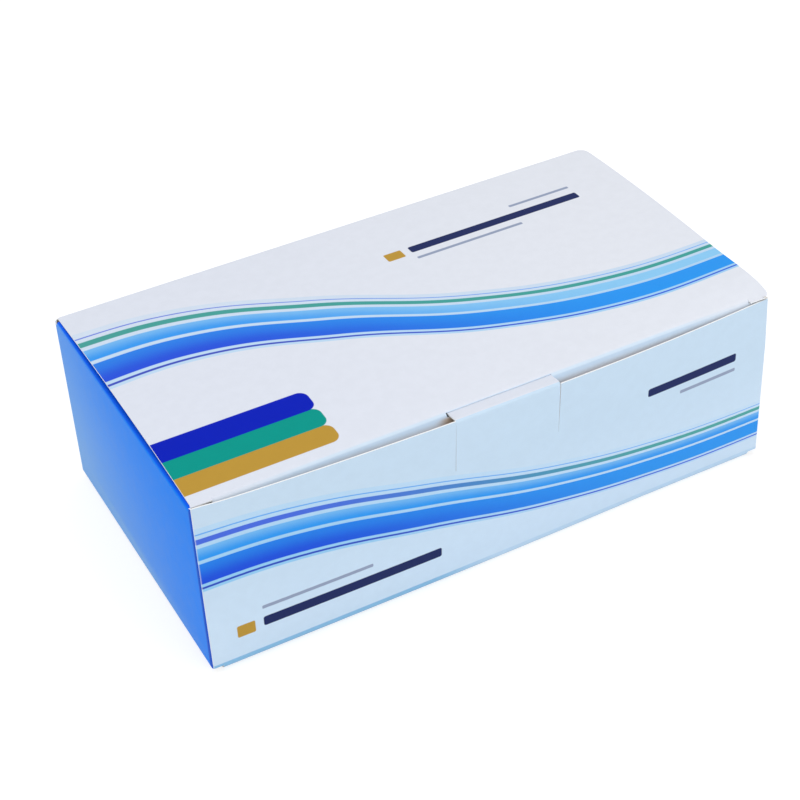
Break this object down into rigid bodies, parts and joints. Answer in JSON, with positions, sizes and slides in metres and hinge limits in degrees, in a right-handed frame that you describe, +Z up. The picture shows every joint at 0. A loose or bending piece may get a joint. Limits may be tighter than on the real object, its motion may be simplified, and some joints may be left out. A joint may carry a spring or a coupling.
{
  "type": "tuck-top folding carton",
  "caption": "Closed tuck-top folding carton for a test kit: hinged cambered lid with rolled tuck flap, end dust flaps, interlocked bottom and a front lock tab through the lid's slot.",
  "frame": {"origin": "centre of the base, on the surface the carton stands on", "axes": "+X along the length to the right as seen from the front, the front panel faces -Y, +Z up"},
  "size_m": [0.22, 0.1242, 0.0728],
  "materials": {
    "printed_walls": "coated board, blue and pale blue print, satin varnish",
    "printed_tab": "coated board, pale blue print, satin varnish",
    "printed_lid": "coated board, near white with blue print, satin varnish"
  },
  "bodies": {
    "carton": {"carton_body": "printed_walls", "lock_tab": "printed_tab"},
    "lid": {"lid": "printed_lid"}
  },
  "joints": [
    {"name": "lid_hinge", "type": "hinge", "parent": "carton", "child": "lid", "pos_m": [0, 0.05975, 0.07075], "axis": [-1, 0, 0], "range_deg": [0, 180], "deforming": ["lock_tab"]}
  ]
}
